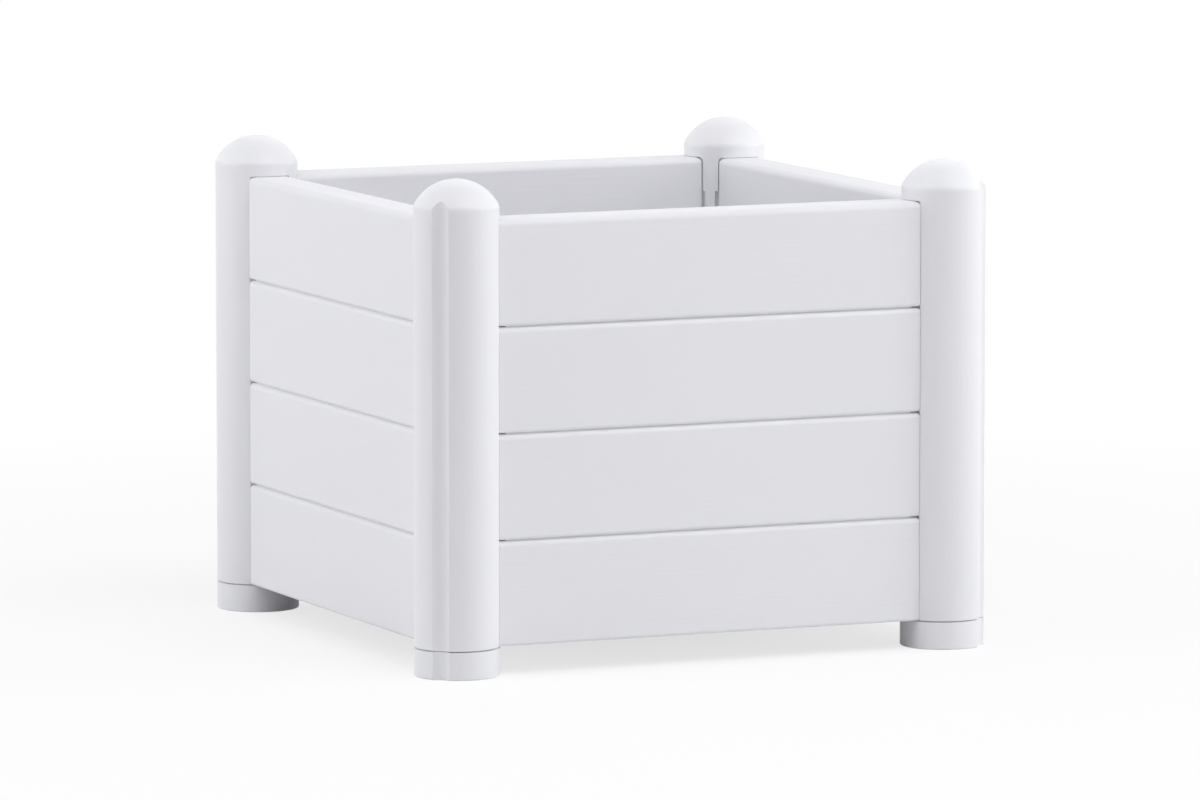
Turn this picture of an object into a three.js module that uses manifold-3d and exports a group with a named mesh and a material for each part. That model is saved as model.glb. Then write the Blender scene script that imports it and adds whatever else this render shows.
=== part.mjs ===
// A square knock-down garden planter of moulded plastic, in the manner of an orangery box.
//
// Four round hollow posts with domed heads stand on plug-in feet. Each side wall is a stack of four hollow
// planks: two rails on the top of a plank stand inside the open underside of the plank above and carry its
// ribs, and a tongue on each end of a plank runs up a channel in a post. The heads cover the ends of the top
// planks and the feet carry the ends of the bottom planks, so the walls are held between them. A ribbed
// floor with drain holes drops in from above and rests on ledges moulded on the inside of the four bottom
// planks.
//
// Millimetres, +Z up, origin on the ground under the middle of the planter. The front wall faces -Y.

import * as THREE from "three";
import { mergeVertices } from "three/addons/utils/BufferGeometryUtils.js";
import Module from "manifold-3d";

const wasm = await Module();
wasm.setup();

// ---------------------------------------------------------------- driving dimensions

const fit = 0.3; // running gap between two pieces that touch on the real planter
const postSpacing = 376; // between the middles of neighbouring posts

// Posts
const postDiameter = 60;
const postWall = 2.6;
const headBand = 7; // the straight part of the head, above the ends of the walls
const domeRise = 21; // from the band to the top of the dome
const shoulderRadius = 8; // blends the dome into the band
const headSkirtHeight = 25; // the wide part of the inner rib, right under the head
const headSkirtWidth = 12.2;
const innerRibWidth = 7.4; // the rest of the inner rib, between the ends of two walls
const innerRibRise = 3; // how far the rib stands out from the corner flat behind it
const fluteWidth = 12.4; // the hollow groove down the outer corner, across its edges
const fluteRadius = 11.4;
const channelWall = 2; // around the channel that takes the plank tongues
const seatFlat = 4.6; // how much of the round is cut away where a wall meets the post
const seamChamfer = 0.6; // on both edges of the seam between a post and its foot

// Feet
const footHeight = 20;
const footEdgeRadius = 2; // round the bottom edge
const footPlate = 2.6; // the plate that closes the foot at the top
const footRib = 2; // the cross of ribs on the underside
const footHubDiameter = 14;
const spigotHeight = 24; // the plug that stands up inside the post
const spigotWall = 2.2;
const spigotLead = 1.5; // the drawn-in top of the plug

// Planks
const planksPerWall = 4;
const plankHeight = 74.7;
const plankThickness = 32;
const plankWall = 2.4;
const plankEdgeRadius = 2.5; // round both faces of a plank
const lowerCornerRadius = 0.5; // of the corners of the flat that is left between them
const upperCornerRadius = 2.5;
const topEdgeRadius = 5; // of the rounder upper edges
const plankEndGap = 0.5; // between the end of a plank and the flat on the post
const cellsPerPlank = 8;
const plankRib = 1.8; // between two cells
const tongueThickness = 6; // the tongue on each end
const tongueLength = 8;
const tongueInset = 6; // above the bottom edge and below the top edge of the plank
const railHeight = 6;
const railThickness = 2.2;
const railPlay = 0.4; // between a rail and the wall of the plank above

// Floor
const ledgeWidth = 8; // of the ledge that carries the floor
const ledgeThickness = 3;
const ledgeLift = 6; // above the bottom edge of the bottom plank
const ledgeEndGap = 38; // from the end of the plank to the end of its ledge
const floorThickness = 2.6;
const floorRibDepth = 9;
const floorRib = 2;
const floorRibMargin = 1; // from the ledges to the outermost rib
const floorCells = 9; // between the ribs, each way
const drainDiameter = 12;
const drainsEachWay = 3; // each in the middle of a cell

// Fineness of the round surfaces
const postSegments = 32;
const fluteSegments = 24;
const domeSegments = 4;
const hollowDomeSegments = 2;
const edgeSegments = 2;
const smallSegments = 12;
const arcDivisions = edgeSegments / 2; // a Shape draws two segments of an arc for each division

// ---------------------------------------------------------------- sizes that follow from them

const postRadius = postDiameter / 2;
const postBottom = footHeight + fit;
const wallBottom = footHeight + fit;
const plankPitch = plankHeight + fit;
const wallTop = wallBottom + planksPerWall * plankPitch - fit;
const headBase = wallTop + fit;
const shoulderBase = headBase + headBand;
const totalHeight = shoulderBase + domeRise;

const flatDistance = postRadius - seatFlat; // from the middle of a post to the flats beside the walls
const plankLength = postSpacing - 2 * (flatDistance + plankEndGap);
const channelHalf = tongueThickness / 2 + fit;
const channelBack = flatDistance + plankEndGap - tongueLength - fit;
const channelTop = wallTop - tongueInset + fit;
const channelCorner = (flatDistance + channelHalf + channelWall) * Math.SQRT1_2;
const cornerFlatDistance = Math.max(postRadius - innerRibRise, channelCorner);
const fluteDepth = depthOfFlute();
const fluteAxis = postRadius - fluteDepth + fluteRadius; // from the middle of the post to its axis

// Depth of a round groove that has the given width where it meets the round of the post.
function depthOfFlute() {
  const half = fluteWidth / 2;
  const belowChord = fluteRadius - Math.sqrt(fluteRadius ** 2 - half ** 2);
  const aboveChord = postRadius - Math.sqrt(postRadius ** 2 - half ** 2);
  return belowChord + aboveChord;
}

// ---------------------------------------------------------------- solids

// A closed geometry as a solid that can be cut and joined.
function solid(geometry) {
  const bare = geometry.clone();
  bare.deleteAttribute("normal");
  bare.deleteAttribute("uv");
  const merged = mergeVertices(bare, 1e-4);
  const corners = merged.index.array;
  const kept = [];
  for (let i = 0; i < corners.length; i += 3) {
    const [a, b, c] = [corners[i], corners[i + 1], corners[i + 2]];
    if (a !== b && b !== c && c !== a) kept.push(a, b, c);
  }
  return new wasm.Manifold(
    new wasm.Mesh({
      numProp: 3,
      vertProperties: merged.attributes.position.array,
      triVerts: new Uint32Array(kept),
    }),
  );
}

function geometryOf(made) {
  const mesh = made.getMesh();
  const geometry = new THREE.BufferGeometry();
  geometry.setAttribute("position", new THREE.BufferAttribute(mesh.vertProperties, 3));
  geometry.setIndex(new THREE.BufferAttribute(mesh.triVerts, 1));
  const faceted = geometry.toNonIndexed();
  faceted.computeVertexNormals();
  return faceted;
}

function block([x0, x1], [y0, y1], [z0, z1]) {
  const box = new THREE.BoxGeometry(x1 - x0, y1 - y0, z1 - z0);
  return solid(box.translate((x0 + x1) / 2, (y0 + y1) / 2, (z0 + z1) / 2));
}

// A block that is centred on the inner diagonal of a post and reaches from one distance to another along it.
function diagonalBlock([near, far], width, [z0, z1]) {
  const box = new THREE.BoxGeometry(far - near, width, z1 - z0);
  box.translate((near + far) / 2, 0, (z0 + z1) / 2);
  return solid(box.rotateZ(Math.PI / 4));
}

function upright(radius, [z0, z1], x = 0, y = 0, segments = postSegments) {
  const round = new THREE.CylinderGeometry(radius, radius, z1 - z0, segments);
  return solid(round.rotateX(Math.PI / 2).translate(x, y, (z0 + z1) / 2));
}

// A solid of revolution about Z from [radius, z] pairs, listed upwards.
function turned(profile) {
  const points = profile.map(([radius, z]) => new THREE.Vector2(radius, z));
  return solid(new THREE.LatheGeometry(points, postSegments).rotateX(Math.PI / 2));
}

// Points of an arc about [cx, cz], both ends included.
function arc([cx, cz], radius, from, to, steps) {
  return Array.from({ length: steps + 1 }, (_, i) => {
    const angle = from + ((to - from) * i) / steps;
    return [cx + radius * Math.cos(angle), cz + radius * Math.sin(angle)];
  });
}

const join = (parts) => parts.reduce((whole, part) => whole.add(part));
const cut = (whole, parts) => parts.reduce((rest, part) => rest.subtract(part), whole);

// ---------------------------------------------------------------- posts

// The profile of the shoulder and the spherical dome, which meet smoothly, drawn in by the given depth.
function headProfile(depth, domeSteps) {
  const shoulderAt = postRadius - shoulderRadius;
  const rest = domeRise - shoulderRadius;
  const domeRadius = (shoulderAt ** 2 + domeRise ** 2 - shoulderRadius ** 2) / (2 * rest);
  const meeting = Math.atan2(domeRadius - domeRise, shoulderAt);
  const shoulder = arc([shoulderAt, shoulderBase], shoulderRadius - depth, 0, meeting, edgeSegments);
  const dome = arc([0, totalHeight - domeRadius], domeRadius - depth, meeting, Math.PI / 2, domeSteps);
  return [...shoulder, ...dome.slice(1, -1), [0, totalHeight - depth]];
}

// The groove down the outer corner of a post and its foot, widened by the given thickness.
function flute(thickness, [z0, z1]) {
  const offset = -fluteAxis * Math.SQRT1_2;
  return upright(fluteRadius + thickness, [z0, z1], offset, offset, fluteSegments);
}

// What a wall needs inside the round of the post: the flats, the channels and the flute with their walls.
// The inset grows all of them, so that the plug of the foot clears what it slides past.
function innerWalls(inset, [z0, z1]) {
  const reach = postRadius + 1;
  const height = [z0 - 1, z1 + 1];
  const flatInside = flatDistance - postWall - inset;
  const side = channelHalf + channelWall + inset;
  const back = channelBack - channelWall - inset;
  return [
    block([flatInside, reach], [-reach, reach], height),
    block([-reach, reach], [flatInside, reach], height),
    block([back, reach], [-side, side], height),
    block([-side, side], [back, reach], height),
    diagonalBlock([cornerFlatDistance - postWall - inset, reach], 2 * reach, height),
    flute(postWall + inset, height),
  ];
}

function postSolid() {
  const below = postBottom - 1;
  const reach = postRadius + 1;
  const walled = [below, headBase];
  const besideWall = plankThickness / 2 + fit;
  const outside = turned([
    [0, postBottom],
    [postRadius - seamChamfer, postBottom],
    [postRadius, postBottom + seamChamfer],
    ...headProfile(0, domeSegments),
  ]);
  const body = cut(outside, [
    block([flatDistance, reach], [-reach, reach], walled),
    block([-reach, reach], [flatDistance, reach], walled),
    diagonalBlock([cornerFlatDistance, 2 * reach], 2 * reach, walled),
  ]);
  const ribReach = [cornerFlatDistance - 1, reach];
  const ribs = join([
    diagonalBlock(ribReach, innerRibWidth, [postBottom, headBase + 1]),
    diagonalBlock(ribReach, headSkirtWidth, [headBase - headSkirtHeight, headBase + 1]),
  ]).intersect(outside);
  const wallEnds = [
    block([flatDistance, reach], [-reach, besideWall], walled),
    block([-reach, besideWall], [flatDistance, reach], walled),
  ];
  const innerHead = headProfile(postWall, hollowDomeSegments);
  const innerRound = turned([[0, below], [postRadius - postWall, below], ...innerHead]);
  const hollow = cut(innerRound, innerWalls(0, [below, totalHeight]));
  const channelHeight = [below, channelTop];
  return cut(body.add(cut(ribs, wallEnds)), [
    hollow,
    block([channelBack, reach], [-channelHalf, channelHalf], channelHeight),
    block([-channelHalf, channelHalf], [channelBack, reach], channelHeight),
    flute(0, [below, totalHeight + 1]),
  ]);
}

// ---------------------------------------------------------------- feet

function plug(inset, [z0, z1]) {
  return cut(upright(postRadius - postWall - inset, [z0, z1]), innerWalls(inset, [z0, z1]));
}

function footSolid() {
  const corner = [postRadius - footEdgeRadius, footEdgeRadius];
  const disc = turned([
    [0, 0],
    ...arc(corner, footEdgeRadius, -Math.PI / 2, 0, edgeSegments),
    [postRadius, footHeight - seamChamfer],
    [postRadius - seamChamfer, footHeight],
    [0, footHeight],
  ]);
  const underPlate = footHeight - footPlate;
  const inside = postRadius - postWall;
  const across = [-postRadius, postRadius];
  const ribHeight = [-2, footHeight];
  const underside = cut(upright(inside, [-1, underPlate]), [
    flute(postWall, ribHeight),
    block(across, [-footRib / 2, footRib / 2], ribHeight),
    block([-footRib / 2, footRib / 2], across, ribHeight),
    upright(footHubDiameter / 2, ribHeight, 0, 0, smallSegments),
  ]);
  const plugTop = footHeight + spigotHeight;
  const plugWall = join([
    plug(fit, [footHeight - 1, plugTop - spigotLead]),
    plug(fit + spigotLead / 2, [footHeight - 1, plugTop]),
  ]).subtract(plug(fit + spigotWall, [footHeight, plugTop + 1]));
  return cut(disc, [flute(0, [-1, footHeight + 1]), underside]).add(plugWall);
}

// ---------------------------------------------------------------- planks

// The outside of a plank: rounded corners in its outline, and both faces rounded all the way round.
// It lies along X, with its outer face to -Y and its bottom edge at z = 0.
function plankOutside() {
  const half = plankLength / 2;
  const lower = plankEdgeRadius + lowerCornerRadius;
  const upper = plankEdgeRadius + upperCornerRadius;
  const outline = new THREE.Shape();
  outline.moveTo(-half + lower, 0);
  outline.lineTo(half - lower, 0);
  outline.absarc(half - lower, lower, lower, -Math.PI / 2, 0);
  outline.absarc(half - upper, plankHeight - upper, upper, 0, Math.PI / 2);
  outline.absarc(-half + upper, plankHeight - upper, upper, Math.PI / 2, Math.PI);
  outline.absarc(-half + lower, lower, lower, Math.PI, 1.5 * Math.PI);
  const slab = new THREE.ExtrudeGeometry(outline, {
    depth: plankThickness - 2 * plankEdgeRadius,
    curveSegments: arcDivisions,
    bevelThickness: plankEdgeRadius,
    bevelSize: plankEdgeRadius,
    bevelOffset: -plankEdgeRadius,
    bevelSegments: edgeSegments,
  });
  slab.translate(0, 0, -plankThickness / 2 + plankEdgeRadius);
  return solid(slab.rotateX(Math.PI / 2));
}

// A bar as long as the plank and as high, with the rounder upper edges. The wall behind the rounding keeps
// at least half of its thickness.
function topRounding() {
  const half = plankThickness / 2;
  const largest = (plankWall * (Math.SQRT2 - 0.5)) / (Math.SQRT2 - 1);
  const radius = Math.min(topEdgeRadius, largest);
  const section = new THREE.Shape();
  section.moveTo(-half, -1);
  section.lineTo(half, -1);
  section.absarc(half - radius, plankHeight - radius, radius, 0, Math.PI / 2);
  section.absarc(-half + radius, plankHeight - radius, radius, Math.PI / 2, Math.PI);
  const bar = new THREE.ExtrudeGeometry(section, {
    depth: plankLength + 2,
    curveSegments: arcDivisions,
    bevelEnabled: false,
  });
  return solid(bar.translate(0, 0, -plankLength / 2 - 1).rotateX(Math.PI / 2).rotateZ(Math.PI / 2));
}

// The open underside: a row of cells, and under their ribs the room for the rails of the plank below, which
// carry the ribs.
function plankHollow() {
  const halfLength = plankLength / 2 - plankWall;
  const halfWidth = plankThickness / 2 - plankWall;
  const pitch = (2 * halfLength + plankRib) / cellsPerPlank;
  const cells = Array.from({ length: cellsPerPlank }, (_, i) => {
    const start = -halfLength + i * pitch;
    return block([start, start + pitch - plankRib], [-halfWidth, halfWidth], [-1, plankHeight - plankWall]);
  });
  const railRoom = block([-halfLength, halfLength], [-halfWidth, halfWidth], [-1, railHeight]);
  return [...cells, railRoom];
}

function plankTongues() {
  const end = plankLength / 2;
  const width = [-tongueThickness / 2, tongueThickness / 2];
  const height = [tongueInset, plankHeight - tongueInset];
  return [-1, 1].map((side) => {
    const reach = [side * (end - plankWall), side * (end + tongueLength)].sort((a, b) => a - b);
    return block(reach, width, height);
  });
}

function plankRails() {
  const outside = plankThickness / 2 - plankWall - railPlay;
  const halfLength = plankLength / 2 - plankWall - railPlay;
  return [-1, 1].map((side) => {
    const width = [side * outside, side * (outside - railThickness)].sort((a, b) => a - b);
    return block([-halfLength, halfLength], width, [plankHeight - plankWall, plankHeight + railHeight]);
  });
}

function plankLedge() {
  const inside = plankThickness / 2;
  const halfLength = plankLength / 2 - ledgeEndGap;
  const height = [ledgeLift, ledgeLift + ledgeThickness];
  return block([-halfLength, halfLength], [inside - plankWall, inside + ledgeWidth], height);
}

function plankSolid({ isBottom, isTop }) {
  const whole = [plankOutside().intersect(topRounding()), ...plankTongues()];
  if (!isTop) whole.push(...plankRails());
  if (isBottom) whole.push(plankLedge());
  return cut(join(whole), plankHollow());
}

// ---------------------------------------------------------------- floor

function floorSolid() {
  const inside = postSpacing / 2 - plankThickness / 2;
  const half = inside - fit;
  const deckBottom = wallBottom + ledgeLift + ledgeThickness + fit;
  const deckTop = deckBottom + floorThickness;
  const ribbedHalf = inside - ledgeWidth - floorRibMargin;
  const cellPitch = (2 * ribbedHalf - floorRib) / floorCells;
  const cellWidth = cellPitch - floorRib;
  const ribBottom = deckBottom - floorRibDepth;
  const deck = block([-half, half], [-half, half], [deckBottom, deckTop]);
  const ribbed = block([-ribbedHalf, ribbedHalf], [-ribbedHalf, ribbedHalf], [ribBottom, deckTop]);
  const cellStart = (i) => -ribbedHalf + floorRib + i * cellPitch;
  const cellMiddle = (i) => cellStart(i) + cellWidth / 2;
  const drainCell = (i) => Math.round(((i + 0.5) * floorCells) / drainsEachWay - 0.5);
  const throughDeck = [deckBottom - 1, deckTop + 1];
  const cuts = [];
  for (let i = 0; i < floorCells; i++) {
    for (let j = 0; j < floorCells; j++) {
      const [x, y] = [cellStart(i), cellStart(j)];
      cuts.push(block([x, x + cellWidth], [y, y + cellWidth], [ribBottom - 1, deckBottom]));
    }
  }
  for (let i = 0; i < drainsEachWay; i++) {
    for (let j = 0; j < drainsEachWay; j++) {
      const [x, y] = [cellMiddle(drainCell(i)), cellMiddle(drainCell(j))];
      cuts.push(upright(drainDiameter / 2, throughDeck, x, y, smallSegments));
    }
  }
  for (const x of [-postSpacing / 2, postSpacing / 2]) {
    for (const y of [-postSpacing / 2, postSpacing / 2]) {
      cuts.push(upright(postRadius + fit, [ribBottom - 1, deckTop + 1], x, y));
    }
  }
  return cut(deck.add(ribbed), cuts);
}

// ---------------------------------------------------------------- the planter

const white = (tint, roughness) => new THREE.MeshStandardMaterial({ color: tint, roughness, metalness: 0 });
const postPlastic = white(0xe6e6eb, 0.42);
const plankPlastic = white(0xe6e6ea, 0.5);
const footPlastic = white(0xe3e3e8, 0.45);
const floorPlastic = white(0xe0e0e4, 0.55);

function piece(name, geometry, material) {
  const mesh = new THREE.Mesh(geometry, material);
  mesh.name = name;
  return mesh;
}

const planter = new THREE.Group();

const postGeometry = geometryOf(postSolid());
const footGeometry = geometryOf(footSolid());
["front_left", "front_right", "back_right", "back_left"].forEach((corner, turn) => {
  const quarter = new THREE.Group();
  quarter.rotation.z = (turn * Math.PI) / 2;
  const stand = new THREE.Group();
  stand.position.set(-postSpacing / 2, -postSpacing / 2, 0);
  stand.add(piece(`post_${corner}`, postGeometry, postPlastic));
  stand.add(piece(`foot_${corner}`, footGeometry, footPlastic));
  quarter.add(stand);
  planter.add(quarter);
});

const plankGeometries = Array.from({ length: planksPerWall }, (_, level) =>
  geometryOf(plankSolid({ isBottom: level === 0, isTop: level === planksPerWall - 1 })),
);
["front", "right", "back", "left"].forEach((side, turn) => {
  const wall = new THREE.Group();
  wall.rotation.z = (turn * Math.PI) / 2;
  plankGeometries.forEach((geometry, level) => {
    const plank = piece(`${side}_plank_${level + 1}`, geometry, plankPlastic);
    plank.position.set(0, -postSpacing / 2, wallBottom + level * plankPitch);
    wall.add(plank);
  });
  planter.add(wall);
});

planter.add(piece("floor", geometryOf(floorSolid()), floorPlastic));

export default planter;
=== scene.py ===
import math

import bmesh
import bpy
from mathutils import Matrix, Vector


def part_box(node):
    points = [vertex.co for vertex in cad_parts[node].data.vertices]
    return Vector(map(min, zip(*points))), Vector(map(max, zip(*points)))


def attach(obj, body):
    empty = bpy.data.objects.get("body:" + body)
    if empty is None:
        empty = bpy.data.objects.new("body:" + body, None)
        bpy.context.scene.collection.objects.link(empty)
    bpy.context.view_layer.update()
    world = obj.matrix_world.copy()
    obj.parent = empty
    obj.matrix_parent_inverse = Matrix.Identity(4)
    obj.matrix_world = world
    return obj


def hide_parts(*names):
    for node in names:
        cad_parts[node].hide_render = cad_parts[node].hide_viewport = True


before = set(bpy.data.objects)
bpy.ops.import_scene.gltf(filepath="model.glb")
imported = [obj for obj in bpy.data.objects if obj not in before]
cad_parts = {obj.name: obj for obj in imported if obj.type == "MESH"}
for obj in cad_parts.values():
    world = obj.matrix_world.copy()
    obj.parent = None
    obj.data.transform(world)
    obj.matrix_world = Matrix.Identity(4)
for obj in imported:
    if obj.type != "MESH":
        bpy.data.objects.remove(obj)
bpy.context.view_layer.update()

scene = bpy.context.scene

# A white square planter of moulded plastic: round posts with domed heads on push-in feet, four courses of
# hollow boards between them, and a floor that drains. Each solid is made in millimetres, and `piece` puts it
# in its place in metres.

# ------------------------------------------------------------------ sizes, in millimetres

MM = 0.001
OVER = 1  # how far a cutter reaches past what it cuts
SAME = 1e-4  # two places that are closer than this are one
LEVEL = 0.01  # how far the middle of a flat side may lie from its level
SQUARE = 0.999  # the least cosine between a flat side and the direction that it faces


def corners(node):
    """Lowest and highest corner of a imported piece, in millimetres."""
    low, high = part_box(node)
    return low / MM, high / MM


post_low, post_high = corners("post_front_left")
foot_high = corners("foot_front_left")[1]
first_low, first_high = corners("front_plank_1")
second_low, second_high = corners("front_plank_2")
last_low, last_high = corners("front_plank_4")
floor_low, floor_high = corners("floor")

GAP = 0.3  # between pieces that touch
END_PLAY = 0.15  # between the ends of a board and the flats of its posts
POST_RADIUS = (post_high.x - post_low.x) / 2
POST_AT = (post_high.x + post_low.x) / 2  # both ways from the middle, on the front left
POST_BOTTOM = post_low.z
POST_TOP = post_high.z
FOOT_HEIGHT = POST_BOTTOM - GAP
BOARD_TOP = last_high.z
HEAD_BASE = BOARD_TOP + GAP

HEAD_BAND = 7  # the straight part of the head, above the boards
SHOULDER = 8  # radius between the band and the dome
SKIRT_HEIGHT = 25  # of the wide top of the inner rib
SKIRT_WIDTH = 12.2
SKIRT_ROUND = 3.2  # of the fillet between the skirt and the head
RIB_WIDTH = 7.4
RIB_RISE = 3  # from the corner flat behind the rib to the round
FLUTE_WIDTH = 12.4  # across its edges
FLUTE_RADIUS = 9.6
POST_WALL = 2.6
SEAT_CUT = 4.6  # taken off the round where a wall meets the post
SEAT = POST_RADIUS - SEAT_CUT  # from the middle of a post to the flats beside the boards
SEAM_DEPTH = 1.3  # of the groove between a post and its foot
SEAM_RISE = 0.35  # of the groove, in the post and in the foot
SEAM_EDGE = 0.2  # broken off the lips of the groove

FOOT_ROUND = 1.2  # of the lower edge
FOOT_PLATE = 2.6  # which closes the foot at the top
FOOT_RIB = 2
FOOT_HUB = 7  # radius
PLUG_WALL = 2.2
PLUG_LEAD = 1.5  # the drawn-in top of the plug

COURSES = 4
BOARD_THICKNESS = last_high.y - last_low.y
BOARD_HEIGHT = last_high.z - last_low.z
BOARD_PITCH = second_low.z - first_low.z
TONGUE_LENGTH = 7.65
TONGUE_THICKNESS = 6
TONGUE_INSET = 6  # from the top and from the bottom of a board
BOARD_LENGTH = last_high.x - last_low.x - 2 * TONGUE_LENGTH
BOARD_WALL = 2.4
RIM = 0.6  # round each face of a board
LOW_EDGE = 2.5  # radius of the long lower edges
HIGH_EDGE = 5
LOW_CORNER = 2.2  # radius of the lower corners, seen from the front
HIGH_CORNER = 3.2
RAIL_HEIGHT = second_high.z - second_low.z - BOARD_HEIGHT  # only the top boards have no rails
RAIL_THICKNESS = 2.2
RAIL_PLAY = 0.4  # between a rail and the wall of the board above
RAIL_END = 6  # from the end of a rail to the end of its board
BOTTOM_LIP = 0.1  # of the flat underside, between its rounded edge and the hollow
CELLS = 8
CELL_RIB = 1.8  # between two cells
LEDGE_WIDTH = first_high.y - second_high.y
LEDGE_LIFT = 6  # above the bottom of the board
LEDGE_THICKNESS = 3
LEDGE_END = 38  # from the end of a ledge to the end of its board

CHANNEL_HALF = TONGUE_THICKNESS / 2 + GAP  # of the width of a channel, which takes a tongue
CHANNEL_WALL = 2
CHANNEL_BACK = SEAT + END_PLAY - TONGUE_LENGTH - GAP
CHANNEL_TOP = BOARD_TOP - TONGUE_INSET + GAP
CORNER_FLAT = POST_RADIUS - RIB_RISE

DECK = 2.6  # thickness of the floor between its ribs
DRAIN_RADIUS = 6
FLOOR_CELLS = 9
FLOOR_RIB = 2
RIB_TO_LEDGE = 1
RIBBED_MARGIN = LEDGE_WIDTH + RIB_TO_LEDGE - GAP  # from the side of the floor to its outermost rib

# How many faces go round each kind of curve.
AROUND = 96  # a post, a foot and a notch for a post in the floor
FLUTE_AROUND = 64
HUB_AROUND = 32
DRAIN_AROUND = 40
HEAD_STEPS = 20
HEAD_ROOM_STEPS = 10
SKIRT_STEPS = 8
FOOT_STEPS = 6
CORNER_STEPS = 8
RIM_STEPS = 4
EDGE_STEPS = 10
SHARP = math.radians(31)  # edges that bend more than this stay crisp

# ------------------------------------------------------------------ making solids


def closed(bm):
    """The same mesh with its doubles merged and its faces pointing outwards."""
    bmesh.ops.remove_doubles(bm, verts=bm.verts, dist=SAME)
    bmesh.ops.recalc_face_normals(bm, faces=bm.faces)
    return bm


def block(low, high):
    """A box between two corners."""
    low, high = Vector(low), Vector(high)
    bm = bmesh.new()
    place = Matrix.Translation((low + high) / 2) @ Matrix.Diagonal((*(high - low), 1))
    bmesh.ops.create_cube(bm, size=1, matrix=place)
    return bm


def diagonal_block(near, far, width, bottom, top):
    """A box on the inner diagonal of a post, between two distances along it."""
    bm = block((near, -width / 2, bottom), (far, width / 2, top))
    bmesh.ops.rotate(bm, verts=bm.verts, cent=(0, 0, 0), matrix=Matrix.Rotation(math.pi / 4, 3, "Z"))
    return bm


def rod(radius, bottom, top, x=0, y=0, around=AROUND):
    """An upright cylinder."""
    bm = bmesh.new()
    place = Matrix.Translation((x, y, (bottom + top) / 2))
    bmesh.ops.create_cone(
        bm, cap_ends=True, segments=around, radius1=radius, radius2=radius, depth=top - bottom, matrix=place
    )
    return bm


def line(bm, points, start=None):
    """Draws on from a vertex through points given as (distance from the axis, height)."""
    for distance, height in points:
        vertex = bm.verts.new((distance, 0, height))
        if start:
            bm.edges.new((start, vertex))
        start = vertex
    return start


def swing(bm, start, centre, angle, steps):
    """Draws an arc on from a vertex, about a centre given as (distance from the axis, height)."""
    made = bmesh.ops.spin(
        bm, geom=[start], cent=(centre[0], 0, centre[1]), axis=(0, -1, 0), angle=angle, steps=steps
    )
    return next(item for item in made["geom_last"] if isinstance(item, bmesh.types.BMVert))


def turned(bm):
    """The solid that a line from the axis and back to it makes when it is turned about Z."""
    bmesh.ops.spin(
        bm,
        geom=[*bm.verts, *bm.edges],
        cent=(0, 0, 0),
        axis=(0, 0, 1),
        angle=2 * math.pi,
        steps=AROUND,
        use_merge=True,
    )
    return closed(bm)


def loose_object(bm):
    """An object that carries a solid for as long as the solid is worked on."""
    mesh = bpy.data.meshes.new("tool")
    bm.to_mesh(mesh)
    bm.free()
    tool = bpy.data.objects.new("tool", mesh)
    scene.collection.objects.link(tool)
    return tool


def worked(solid, operation, tools):
    """The solid after it is joined with, cut by or kept only inside each of the tools."""
    base = loose_object(solid)
    used = [loose_object(tool) for tool in tools]
    for tool in used:
        step = base.modifiers.new("step", "BOOLEAN")
        step.operation = operation
        step.solver = "EXACT"
        step.object = tool
    result = bmesh.new()
    result.from_object(base, bpy.context.evaluated_depsgraph_get())
    for item in (base, *used):
        mesh = item.data
        bpy.data.objects.remove(item)
        bpy.data.meshes.remove(mesh)
    return closed(result)


def flat_faces(bm, facing, level):
    """The faces that look along a direction and lie at a level along it."""
    facing = Vector(facing)
    return [
        face
        for face in bm.faces
        if face.normal.dot(facing) > SQUARE and abs(face.calc_center_median().dot(facing) - level) < LEVEL
    ]


def push(bm, facing, level, low, high, by):
    """Pushes a rectangle of a flat side outwards, or inwards where `by` is negative.

    The rectangle lies between two corners, of which the coordinate along `facing` isn't read.
    """
    facing = Vector(facing)
    across = [axis for axis in range(3) if not facing[axis]]
    for axis in across:
        direction = Vector((0, 0, 0))
        direction[axis] = 1
        for limit in (low[axis], high[axis]):
            faces = flat_faces(bm, facing, level)
            edges = {edge for face in faces for edge in face.edges}
            verts = {vert for face in faces for vert in face.verts}
            bmesh.ops.bisect_plane(
                bm, geom=[*faces, *edges, *verts], dist=SAME, plane_co=direction * limit, plane_no=direction
            )
    patch = [
        face
        for face in flat_faces(bm, facing, level)
        if all(low[axis] < face.calc_center_median()[axis] < high[axis] for axis in across)
    ]
    made = bmesh.ops.extrude_face_region(bm, geom=patch)
    verts = [item for item in made["geom"] if isinstance(item, bmesh.types.BMVert)]
    bmesh.ops.translate(bm, verts=verts, vec=facing * by)
    bmesh.ops.delete(bm, geom=[face for face in patch if face.is_valid], context="FACES")


def straight_edges(bm, axis, level):
    """The level edges that run along an axis, 0 for X and 1 for Y, at a height."""
    return [
        edge
        for edge in bm.edges
        if abs(edge.verts[0].co[axis] - edge.verts[1].co[axis]) > SAME
        and all(abs(vert.co.z - level) < SAME for vert in edge.verts)
    ]


def rounded(bm, edges, radius, segments):
    """Rounds edges in place."""
    bmesh.ops.bevel(
        bm,
        geom=edges,
        offset=radius,
        offset_type="OFFSET",
        affect="EDGES",
        segments=segments,
        profile=0.5,
        material=-1,
        clamp_overlap=True,
    )


# ------------------------------------------------------------------ posts


def flute_depth():
    """How deep the groove is, from the round of the post to its floor."""
    half = FLUTE_WIDTH / 2
    below = FLUTE_RADIUS - math.sqrt(FLUTE_RADIUS**2 - half**2)
    above = POST_RADIUS - math.sqrt(POST_RADIUS**2 - half**2)
    return below + above


def flute(thickness, bottom, top):
    """The groove down the outer corner of a post and its foot, widened by a thickness."""
    away = -(POST_RADIUS - flute_depth() + FLUTE_RADIUS) * math.sqrt(0.5)
    return rod(FLUTE_RADIUS + thickness, bottom, top, away, away, around=FLUTE_AROUND)


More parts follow.
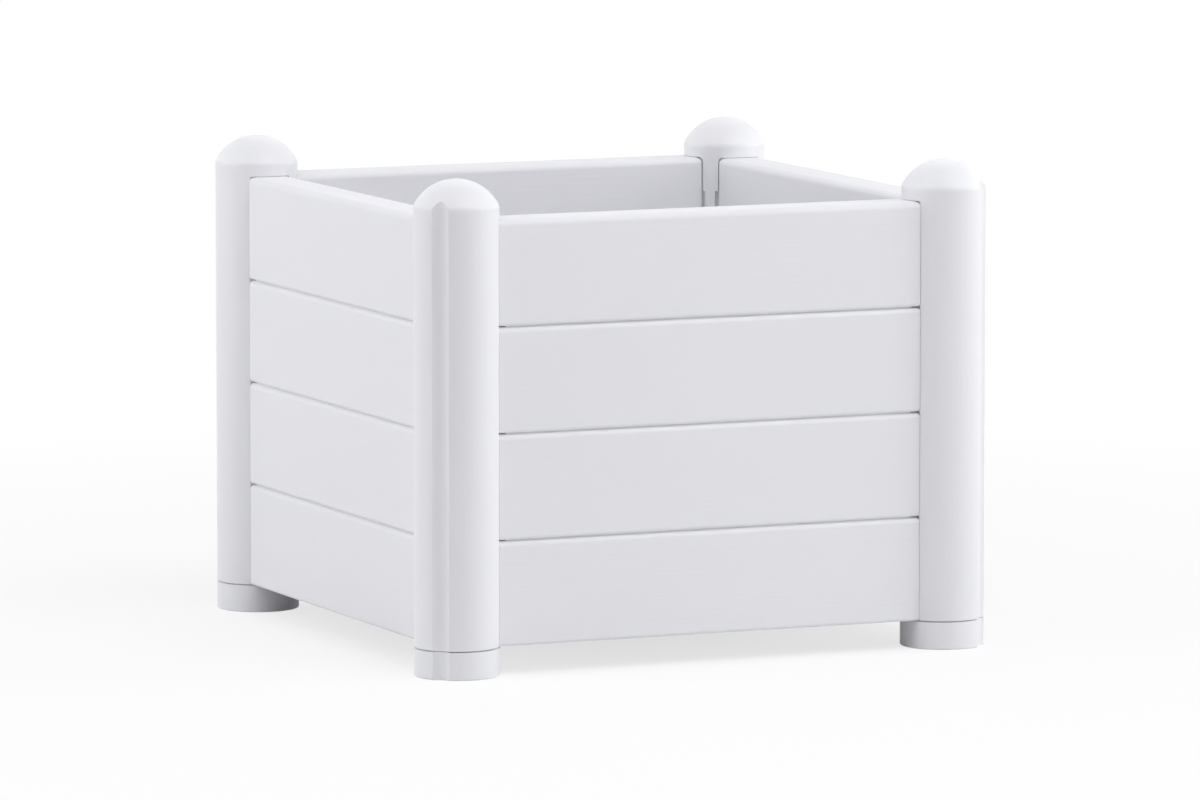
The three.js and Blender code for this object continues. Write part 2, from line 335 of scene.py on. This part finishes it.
def head_line(bm, start, depth, steps):
    """Draws the shoulder and the dome of a head on from the top of its band, drawn in by a depth."""
    shoulder_base = HEAD_BASE + HEAD_BAND
    shoulder_at = POST_RADIUS - SHOULDER
    rise = POST_TOP - shoulder_base
    dome = (shoulder_at**2 + rise**2 - SHOULDER**2) / (2 * (rise - SHOULDER))
    meeting = math.atan2(dome - rise, shoulder_at)
    start = line(bm, [(POST_RADIUS - depth, shoulder_base)], start)
    start = swing(bm, start, (shoulder_at, shoulder_base), meeting, steps // 2)
    start = swing(bm, start, (0, POST_TOP - dome), math.pi / 2 - meeting, steps)
    start.co.x = 0  # on the axis to the last digit, so that the turned dome closes


def inner_walls(inset, bottom, top):
    """What the walls of a post take from the round room inside it."""
    reach = POST_RADIUS + OVER
    low, high = bottom - OVER, top + OVER
    flat = SEAT - POST_WALL - inset
    side = CHANNEL_HALF + CHANNEL_WALL + inset
    back = CHANNEL_BACK - CHANNEL_WALL - inset
    return [
        block((flat, -reach, low), (reach, reach, high)),
        block((-reach, flat, low), (reach, reach, high)),
        block((back, -side, low), (reach, side, high)),
        block((-side, back, low), (side, reach, high)),
        diagonal_block(CORNER_FLAT - POST_WALL - inset, 2 * reach, 4 * reach, low, high),
        flute(POST_WALL + inset, low, high),
    ]


def seam_line(level, rise):
    """One side of the groove between a post and its foot, from its floor out to the side of the post."""
    floor_at = POST_RADIUS - SEAM_DEPTH
    lip = level + rise
    edge = math.copysign(SEAM_EDGE, rise)
    return [(floor_at, level), (floor_at, lip), (POST_RADIUS - SEAM_EDGE, lip), (POST_RADIUS, lip + edge)]


def post_outside():
    """A post with its head and without its hollows, flats, rib and flute."""
    bm = bmesh.new()
    start = line(bm, [(0, POST_BOTTOM), *seam_line(POST_BOTTOM, SEAM_RISE)])
    head_line(bm, start, 0, HEAD_STEPS)
    return turned(bm)


def skirt(near, far):
    """The wide top of the inner rib, which runs out into the head in a fillet on each side."""
    half = SKIRT_WIDTH / 2
    fillet_base = HEAD_BASE - SKIRT_ROUND
    bm = bmesh.new()
    start = line(bm, [(0, HEAD_BASE - SKIRT_HEIGHT), (half, HEAD_BASE - SKIRT_HEIGHT), (half, fillet_base)])
    start = swing(bm, start, (half + SKIRT_ROUND, fillet_base), -math.pi / 2, SKIRT_STEPS)
    line(bm, [(half + SKIRT_ROUND, HEAD_BASE + OVER), (0, HEAD_BASE + OVER)], start)
    bmesh.ops.mirror(bm, geom=[*bm.verts, *bm.edges], axis="X", merge_dist=SAME)
    bmesh.ops.translate(bm, verts=bm.verts, vec=(0, near, 0))
    outline = bmesh.ops.contextual_create(bm, geom=bm.edges[:])["faces"]
    made = bmesh.ops.extrude_face_region(bm, geom=outline)
    verts = [item for item in made["geom"] if isinstance(item, bmesh.types.BMVert)]
    bmesh.ops.translate(bm, verts=verts, vec=(0, far - near, 0))
    bmesh.ops.rotate(bm, verts=bm.verts, cent=(0, 0, 0), matrix=Matrix.Rotation(-math.pi / 4, 3, "Z"))
    return closed(bm)


def post_solid():
    """A post at the origin, with its walls towards +X and +Y and its flute away from them.

    One cutter makes the flats beside the boards and the corner flat, and spares the rib and its skirt.
    """
    reach = POST_RADIUS + OVER
    below = POST_BOTTOM - OVER
    cutaway = worked(
        block((SEAT, -2 * reach, below), (2 * reach, 2 * reach, HEAD_BASE)),
        "UNION",
        [
            block((-2 * reach, SEAT, below), (2 * reach, 2 * reach, HEAD_BASE)),
            diagonal_block(CORNER_FLAT, 3 * reach, 4 * reach, below, HEAD_BASE),
        ],
    )
    ribs = [
        diagonal_block(CORNER_FLAT - OVER, reach, RIB_WIDTH, below - OVER, HEAD_BASE + OVER),
        skirt(CORNER_FLAT - 2 * OVER, reach + OVER),
    ]
    body = worked(post_outside(), "DIFFERENCE", [worked(cutaway, "DIFFERENCE", ribs)])
    room = bmesh.new()
    start = line(room, [(0, below), (POST_RADIUS - POST_WALL, below)])
    head_line(room, start, POST_WALL, HEAD_ROOM_STEPS)
    room = worked(turned(room), "DIFFERENCE", inner_walls(0, below, POST_TOP))
    return worked(
        body,
        "DIFFERENCE",
        [
            room,
            block((CHANNEL_BACK, -CHANNEL_HALF, below), (reach, CHANNEL_HALF, CHANNEL_TOP)),
            block((-CHANNEL_HALF, CHANNEL_BACK, below), (CHANNEL_HALF, reach, CHANNEL_TOP)),
            flute(0, below, POST_TOP + OVER),
        ],
    )


# ------------------------------------------------------------------ feet


def plug(inset, bottom, top):
    """A solid that fills the room inside a post, smaller by an inset on every side."""
    round_plug = rod(POST_RADIUS - POST_WALL - inset, bottom, top)
    return worked(round_plug, "DIFFERENCE", inner_walls(inset, bottom, top))


def foot_solid():
    """A foot at the origin, with its ribs underneath and its plug on top."""
    disc = bmesh.new()
    start = line(disc, [(0, 0), (POST_RADIUS - FOOT_ROUND, 0)])
    start = swing(disc, start, (POST_RADIUS - FOOT_ROUND, FOOT_ROUND), math.pi / 2, FOOT_STEPS)
    line(disc, [*reversed(seam_line(FOOT_HEIGHT, -SEAM_RISE)), (0, FOOT_HEIGHT)], start)
    disc = turned(disc)
    reach = POST_RADIUS + OVER
    pocket = worked(
        rod(POST_RADIUS - POST_WALL, -OVER, FOOT_HEIGHT - FOOT_PLATE),
        "DIFFERENCE",
        [
            flute(POST_WALL, -2 * OVER, FOOT_HEIGHT),
            block((-reach, -FOOT_RIB / 2, -2 * OVER), (reach, FOOT_RIB / 2, FOOT_HEIGHT)),
            block((-FOOT_RIB / 2, -reach, -2 * OVER), (FOOT_RIB / 2, reach, FOOT_HEIGHT)),
            rod(FOOT_HUB, -2 * OVER, FOOT_HEIGHT, around=HUB_AROUND),
        ],
    )
    body = worked(disc, "DIFFERENCE", [flute(0, -OVER, FOOT_HEIGHT + OVER), pocket])
    plug_top = foot_high.z
    wall = worked(
        plug(GAP, FOOT_HEIGHT - OVER, plug_top - PLUG_LEAD),
        "UNION",
        [plug(GAP + PLUG_LEAD / 2, FOOT_HEIGHT - OVER, plug_top)],
    )
    wall = worked(wall, "DIFFERENCE", [plug(GAP + PLUG_WALL, FOOT_HEIGHT, plug_top + OVER)])
    return worked(body, "UNION", [wall])


# ------------------------------------------------------------------ boards


def board_solid(is_bottom, is_top):
    """A board that lies along X, with its outer side to -Y and its bottom at height zero."""
    half_length = BOARD_LENGTH / 2
    half = BOARD_THICKNESS / 2
    bm = block((-half_length, -half, 0), (half_length, half, BOARD_HEIGHT))
    for height, radius in ((0, LOW_CORNER), (BOARD_HEIGHT, HIGH_CORNER)):
        rounded(bm, straight_edges(bm, 1, height), radius, CORNER_STEPS)
    rims = [
        edge
        for edge in bm.edges
        if any(abs(face.normal.y) > SQUARE for face in edge.link_faces)
    ]
    rounded(bm, rims, RIM, RIM_STEPS)
    bar = block((-half_length - OVER, -half, 0), (half_length + OVER, half, BOARD_HEIGHT))
    for height, radius in ((0, LOW_EDGE), (BOARD_HEIGHT, HIGH_EDGE)):
        rounded(bar, straight_edges(bar, 0, height), radius, EDGE_STEPS)
    bm = worked(bm, "INTERSECT", [bar])
    end = half_length - LOW_CORNER - BOTTOM_LIP
    side = half - LOW_EDGE - BOTTOM_LIP
    push(bm, (0, 0, -1), 0, (-end, -side, 0), (end, side, 0), -RAIL_HEIGHT)
    bm.normal_update()
    pitch = (2 * end + CELL_RIB) / CELLS
    depth = BOARD_HEIGHT - BOARD_WALL - RAIL_HEIGHT
    for number in range(CELLS):
        start = -end + number * pitch
        cell_end = start + pitch - CELL_RIB
        push(bm, (0, 0, -1), -RAIL_HEIGHT, (start, -side, 0), (cell_end, side, 0), -depth)
        bm.normal_update()
    if not is_top:
        outer = half - BOARD_WALL - RAIL_PLAY
        inner = outer - RAIL_THICKNESS
        rail_end = half_length - RAIL_END
        low, high = BOARD_HEIGHT - BOARD_WALL / 2, BOARD_HEIGHT + RAIL_HEIGHT
        rails = [
            block((-rail_end, inner, low), (rail_end, outer, high)),
            block((-rail_end, -outer, low), (rail_end, -inner, high)),
        ]
        bm = worked(bm, "UNION", rails)
    tongue = TONGUE_THICKNESS / 2
    for way in (-1, 1):
        push(
            bm,
            (way, 0, 0),
            half_length,
            (0, -tongue, TONGUE_INSET),
            (0, tongue, BOARD_HEIGHT - TONGUE_INSET),
            TONGUE_LENGTH,
        )
    if is_bottom:
        ledge = half_length - LEDGE_END
        low, high = (-ledge, 0, LEDGE_LIFT), (ledge, 0, LEDGE_LIFT + LEDGE_THICKNESS)
        push(bm, (0, 1, 0), half, low, high, LEDGE_WIDTH)
    return closed(bm)


# ------------------------------------------------------------------ floor


def floor_solid():
    """The floor in its place, with its ribs, drains and room for the posts."""
    half = floor_high.x
    ribbed = half - RIBBED_MARGIN
    deck_bottom = floor_high.z - DECK
    bm = block((-half, -half, deck_bottom), (half, half, floor_high.z))
    push(bm, (0, 0, -1), -deck_bottom, (-ribbed, -ribbed, 0), (ribbed, ribbed, 0), deck_bottom - floor_low.z)
    bm.normal_update()
    pitch = (2 * ribbed - FLOOR_RIB) / FLOOR_CELLS
    starts = [-ribbed + FLOOR_RIB + number * pitch for number in range(FLOOR_CELLS)]
    width = pitch - FLOOR_RIB
    for x in starts:
        for y in starts:
            far = (x + width, y + width, 0)
            push(bm, (0, 0, -1), -floor_low.z, (x, y, 0), far, floor_low.z - deck_bottom)
            bm.normal_update()
    middles = [start + width / 2 for start in starts[1::3]]
    low, high = floor_low.z - OVER, floor_high.z + OVER
    drains = [rod(DRAIN_RADIUS, low, high, x, y, around=DRAIN_AROUND) for x in middles for y in middles]
    notches = [
        rod(POST_RADIUS + GAP, low, high, x, y) for x in (-POST_AT, POST_AT) for y in (-POST_AT, POST_AT)
    ]
    return worked(bm, "DIFFERENCE", [*drains, *notches])


# ------------------------------------------------------------------ plastics

WHITE = (0.853, 0.854, 0.889)
WHITE_SHADE = (0.836, 0.838, 0.873)
CLOUDS = 9  # to a metre, of the drift between the white and its shade
POST_ROUGHNESS = 0.42
BOARD_ROUGHNESS = 0.62
FLOOR_ROUGHNESS = 0.55
ROUGHNESS_PLAY = 0.05  # up and down, with the grain

# Grains to a metre, across the grain and along it, and how deep they are in metres.
FINE = 420
DRAWN_OUT = 14
FOOT_DRAWN_OUT = 30
FLOOR_FINE = 180
GRAIN_DEPTH = 0.0002
FLOOR_GRAIN_DEPTH = 0.0001
GRAIN_STRENGTH = 0.7


def plastic(name, roughness, grain_across, grain_depth):
    """White moulded plastic with a faint embossed grain.

    The grain is given as how many grains to a metre there are along each axis, and is drawn out along
    the axis that has few. Its depth is in metres.
    """
    material = bpy.data.materials.new(name)
    material.use_nodes = True
    tree = material.node_tree
    surface = tree.nodes["Principled BSDF"]
    place = tree.nodes.new("ShaderNodeTexCoord")
    grain_place = tree.nodes.new("ShaderNodeMapping")
    grain_place.inputs["Scale"].default_value = grain_across
    grain = tree.nodes.new("ShaderNodeTexNoise")
    grain.inputs["Scale"].default_value = 1
    grain.inputs["Detail"].default_value = 4
    grain.inputs["Roughness"].default_value = 0.55
    grain.inputs["Distortion"].default_value = 0.4
    bump = tree.nodes.new("ShaderNodeBump")
    bump.inputs["Strength"].default_value = GRAIN_STRENGTH
    bump.inputs["Distance"].default_value = grain_depth
    cloud = tree.nodes.new("ShaderNodeTexNoise")
    cloud.inputs["Scale"].default_value = CLOUDS
    cloud.inputs["Detail"].default_value = 2
    tint = tree.nodes.new("ShaderNodeMix")
    tint.data_type = "RGBA"
    tint.inputs["A"].default_value = (*WHITE_SHADE, 1)
    tint.inputs["B"].default_value = (*WHITE, 1)
    gloss = tree.nodes.new("ShaderNodeMapRange")
    gloss.inputs["To Min"].default_value = roughness - ROUGHNESS_PLAY
    gloss.inputs["To Max"].default_value = roughness + ROUGHNESS_PLAY
    tree.links.new(place.outputs["Object"], grain_place.inputs["Vector"])
    tree.links.new(grain_place.outputs["Vector"], grain.inputs["Vector"])
    tree.links.new(grain.outputs["Fac"], bump.inputs["Height"])
    tree.links.new(bump.outputs["Normal"], surface.inputs["Normal"])
    tree.links.new(place.outputs["Object"], cloud.inputs["Vector"])
    tree.links.new(cloud.outputs["Fac"], tint.inputs["Factor"])
    tree.links.new(tint.outputs["Result"], surface.inputs["Base Color"])
    tree.links.new(grain.outputs["Fac"], gloss.inputs["Value"])
    tree.links.new(gloss.outputs["Result"], surface.inputs["Roughness"])
    return material


post_plastic = plastic("post_plastic", POST_ROUGHNESS, (FINE, FINE, DRAWN_OUT), GRAIN_DEPTH)
foot_plastic = plastic("foot_plastic", POST_ROUGHNESS, (FINE, FINE, FOOT_DRAWN_OUT), GRAIN_DEPTH)
cross_board_plastic = plastic("cross_board_plastic", BOARD_ROUGHNESS, (DRAWN_OUT, FINE, FINE), GRAIN_DEPTH)
side_board_plastic = plastic("side_board_plastic", BOARD_ROUGHNESS, (FINE, DRAWN_OUT, FINE), GRAIN_DEPTH)
floor_plastic = plastic("floor_plastic", FLOOR_ROUGHNESS, (FLOOR_FINE,) * 3, FLOOR_GRAIN_DEPTH)

# ------------------------------------------------------------------ the planter


def piece(name, solid, turn, place, material, node):
    """Puts a copy of a solid in its place, in metres, as a piece that stands for a packed one."""
    mesh = bpy.data.meshes.new(name)
    solid.to_mesh(mesh)
    quarter = Matrix.Rotation(turn * math.pi / 2, 4, "Z")
    mesh.transform(Matrix.Scale(MM, 4) @ quarter @ Matrix.Translation(place))
    mesh.shade_smooth()
    mesh.set_sharp_from_angle(angle=SHARP)
    mesh.materials.append(material)
    made = bpy.data.objects.new(name, mesh)
    scene.collection.objects.link(made)
    even = made.modifiers.new("even", "WEIGHTED_NORMAL")
    even.keep_sharp = True
    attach(made, "root")
    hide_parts(node)


post = post_solid()
foot = foot_solid()
for turn, corner in enumerate(("front_left", "front_right", "back_right", "back_left")):
    at = (POST_AT, POST_AT, 0)
    piece(f"{corner}_post", post, turn, at, post_plastic, f"post_{corner}")
    piece(f"{corner}_foot", foot, turn, at, foot_plastic, f"foot_{corner}")
post.free()
foot.free()

for level in range(COURSES):
    board = board_solid(level == 0, level == COURSES - 1)
    at = (0, POST_AT, first_low.z + level * BOARD_PITCH)
    for turn, side in enumerate(("front", "right", "back", "left")):
        material = side_board_plastic if turn % 2 else cross_board_plastic
        name, node = f"{side}_board_{level + 1}", f"{side}_plank_{level + 1}"
        piece(name, board, turn, at, material, node)
    board.free()

deck = floor_solid()
piece("drained_floor", deck, 0, (0, 0, 0), floor_plastic, "floor")
deck.free()

# ------------------------------------------------------------------ studio

GROUND_REACH = 30  # from the middle to each side, in metres
PAPER_WHITE = 0.9
PAPER_ROUGHNESS = 0.9
SHADOW_SCALE = 0.8  # the paper shows its shadow within 1 / 0.8 m of the middle
NEAR_WHITE = 0.68  # how much of the paper is plain white at the middle

ground_mesh = bpy.data.meshes.new("ground")
sheet = bmesh.new()
bmesh.ops.create_grid(sheet, x_segments=1, y_segments=1, size=GROUND_REACH)
sheet.to_mesh(ground_mesh)
sheet.free()
ground = bpy.data.objects.new("ground", ground_mesh)
scene.collection.objects.link(ground)


def seen_white(tree):
    """How far a ray is one that the eye follows: straight, or by way of a gloss or through glass."""
    path = tree.nodes.new("ShaderNodeLightPath")
    total = path.outputs["Is Camera Ray"]
    for kind in ("Is Glossy Ray", "Is Transmission Ray"):
        step = tree.nodes.new("ShaderNodeMath")
        step.operation = "ADD"
        step.use_clamp = True
        tree.links.new(total, step.inputs[0])
        tree.links.new(path.outputs[kind], step.inputs[1])
        total = step.outputs["Value"]
    return total


def paper():
    """Studio paper that is plain white far away and keeps the soft shadow round what stands on it."""
    material = bpy.data.materials.new("studio_paper")
    material.use_nodes = True
    tree = material.node_tree
    surface = tree.nodes["Principled BSDF"]
    surface.inputs["Base Color"].default_value = (PAPER_WHITE, PAPER_WHITE, PAPER_WHITE, 1)
    surface.inputs["Roughness"].default_value = PAPER_ROUGHNESS
    white = tree.nodes.new("ShaderNodeEmission")
    white.inputs["Color"].default_value = (1, 1, 1, 1)
    place = tree.nodes.new("ShaderNodeTexCoord")
    reach = tree.nodes.new("ShaderNodeMapping")
    reach.inputs["Scale"].default_value = (SHADOW_SCALE, SHADOW_SCALE, SHADOW_SCALE)
    near = tree.nodes.new("ShaderNodeTexGradient")
    near.gradient_type = "SPHERICAL"
    plain = tree.nodes.new("ShaderNodeMapRange")
    plain.inputs["To Min"].default_value = 1
    plain.inputs["To Max"].default_value = NEAR_WHITE
    share = tree.nodes.new("ShaderNodeMath")
    share.operation = "MULTIPLY"
    mixed = tree.nodes.new("ShaderNodeMixShader")
    tree.links.new(place.outputs["Object"], reach.inputs["Vector"])
    tree.links.new(reach.outputs["Vector"], near.inputs["Vector"])
    tree.links.new(near.outputs["Fac"], plain.inputs["Value"])
    tree.links.new(seen_white(tree), share.inputs[0])
    tree.links.new(plain.outputs["Result"], share.inputs[1])
    tree.links.new(share.outputs["Value"], mixed.inputs["Fac"])
    tree.links.new(surface.outputs["BSDF"], mixed.inputs[1])
    tree.links.new(white.outputs["Emission"], mixed.inputs[2])
    tree.links.new(mixed.outputs["Shader"], tree.nodes["Material Output"].inputs["Surface"])
    return material


ground_mesh.materials.append(paper())


CAMERA_PLACE = (-2.693, -6.132, 0.950)  # in metres
CAMERA_TILT = math.radians(90 - 6.69)  # it looks 6.69 degrees down
CAMERA_TURN = math.radians(23.74)  # and this far to the right of straight back
CAMERA_LENS = 279.75  # in millimetres, as is the width of the sensor
CAMERA_SENSOR = 36
LIGHTS_AIM = Vector((0, 0, 0.17))  # the middle of the planter


def soft_box(name, azimuth, distance, height, size, watts):
    """A square soft light, turned towards the planter.

    Its azimuth is counted from the camera, to the right.
    """
    around = math.radians(azimuth) - CAMERA_TURN
    lamp = bpy.data.lights.new(name, "AREA")
    lamp.shape = "SQUARE"
    lamp.size = size
    lamp.energy = watts
    made = bpy.data.objects.new(name, lamp)
    made.location = (distance * math.sin(around), -distance * math.cos(around), height)
    made.rotation_mode = "QUATERNION"
    made.rotation_quaternion = (LIGHTS_AIM - made.location).to_track_quat("-Z", "Y")
    scene.collection.objects.link(made)


for light in (
    # name, azimuth in degrees, distance, height and size in metres, and power in watts
    ("left_light", -90, 2.5, 1.0, 1.6, 18.8),
    ("right_light", 90, 2.5, 1.0, 1.6, 25.4),
    ("left_high_light", -55, 1.9, 2.0, 1.6, 11),
    ("right_high_light", 40, 1.9, 2.0, 1.6, 16.6),
    ("front_top_light", 0, 1.2, 2.5, 1.6, 7.8),
    ("right_top_light", 60, 1.3, 2.5, 1.6, 10.8),
    ("left_top_light", -60, 1.3, 2.5, 1.6, 6.4),
    ("left_back_light", -130, 2.5, 1.2, 1.6, 6),
    ("right_back_light", 130, 2.5, 1.2, 1.6, 6),
    ("back_light", 180, 1.8, 2.1, 1.6, 7),
):
    soft_box(*light)

# The room is dim, and white only where it is seen.
DIM = 0.1
world = bpy.data.worlds.new("studio")
world.use_nodes = True
scene.world = world
air = world.node_tree
dim = air.nodes["Background"]
dim.inputs["Color"].default_value = (1, 1, 1, 1)
dim.inputs["Strength"].default_value = DIM
bright = air.nodes.new("ShaderNodeBackground")
bright.inputs["Color"].default_value = (1, 1, 1, 1)
bright.inputs["Strength"].default_value = 1
either = air.nodes.new("ShaderNodeMixShader")
air.links.new(seen_white(air), either.inputs["Fac"])
air.links.new(dim.outputs["Background"], either.inputs[1])
air.links.new(bright.outputs["Background"], either.inputs[2])
air.links.new(either.outputs["Shader"], air.nodes["World Output"].inputs["Surface"])

eye = bpy.data.cameras.new("camera")
eye.lens = CAMERA_LENS
eye.sensor_width = CAMERA_SENSOR
eye.clip_end = 100
camera = bpy.data.objects.new("camera", eye)
camera.location = CAMERA_PLACE
camera.rotation_euler = (CAMERA_TILT, 0, -CAMERA_TURN)
scene.collection.objects.link(camera)
scene.camera = camera
scene.view_settings.view_transform = "Standard"
